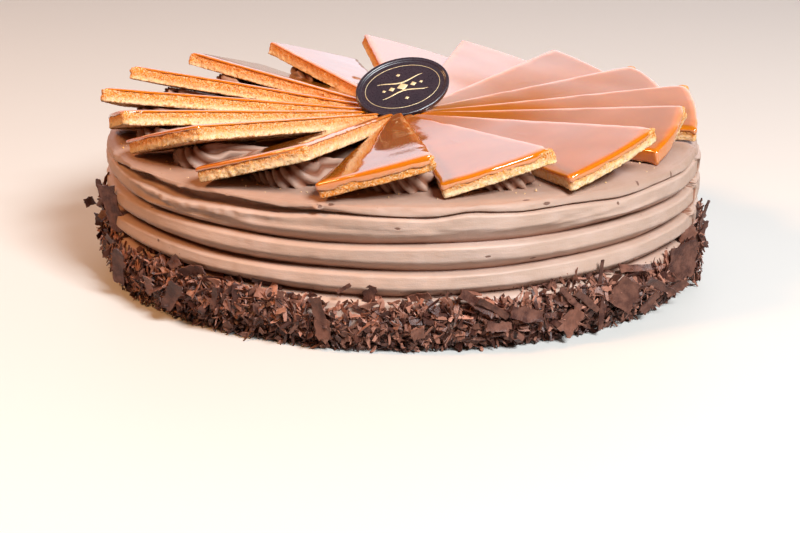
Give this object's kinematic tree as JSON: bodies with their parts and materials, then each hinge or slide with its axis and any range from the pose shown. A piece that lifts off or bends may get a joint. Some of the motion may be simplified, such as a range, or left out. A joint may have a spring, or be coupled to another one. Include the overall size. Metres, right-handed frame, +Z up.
{
  "type": "dobos torte",
  "caption": "Round layer cake in combed chocolate buttercream, its foot pressed with shavings, topped by leaning caramel-glazed sponge wedges on piped swirls and an oval chocolate plaque.",
  "frame": {"origin": "on the cake's vertical axis, in the plane of the flat base it stands on", "axes": "+Z up; -Y towards the viewer of the picture, the side that the plaque faces; +X to the viewer's right"},
  "size_m": [0.2694, 0.2681, 0.0877],
  "materials": {
    "cream": "soft satin chocolate buttercream with comb ridges, drag marks and small air holes; the foot is covered in dark chocolate shavings",
    "sponge": "matte, porous, golden baked sponge crumb, browned at the bottom and soaked orange under the caramel",
    "caramel": "hard glossy boiled-sugar glaze, amber orange, slightly see-through at its thin edges",
    "chocolate": "moulded dark chocolate, near black, satin gloss"
  },
  "bodies": {
    "root": {"cake": "cream", "sponge_01": "sponge", "sponge_02": "sponge", "sponge_03": "sponge", "sponge_04": "sponge", "sponge_05": "sponge", "sponge_06": "sponge", "sponge_07": "sponge", "sponge_08": "sponge", "sponge_09": "sponge", "sponge_10": "sponge", "sponge_11": "sponge", "sponge_12": "sponge", "sponge_13": "sponge", "sponge_14": "sponge", "sponge_15": "sponge", "sponge_16": "sponge", "caramel_01": "caramel", "caramel_02": "caramel", "caramel_03": "caramel", "caramel_04": "caramel", "caramel_05": "caramel", "caramel_06": "caramel", "caramel_07": "caramel", "caramel_08": "caramel", "caramel_09": "caramel", "caramel_10": "caramel", "caramel_11": "caramel", "caramel_12": "caramel", "caramel_13": "caramel", "caramel_14": "caramel", "caramel_15": "caramel", "caramel_16": "caramel", "swirl_01": "cream", "swirl_02": "cream", "swirl_03": "cream", "swirl_04": "cream", "swirl_05": "cream", "swirl_06": "cream", "swirl_07": "cream", "swirl_08": "cream", "swirl_09": "cream", "swirl_10": "cream", "swirl_11": "cream", "swirl_12": "cream", "swirl_13": "cream", "swirl_14": "cream", "swirl_15": "cream", "swirl_16": "cream", "rosette": "cream", "plaque": "chocolate"}
  },
  "joints": []
}
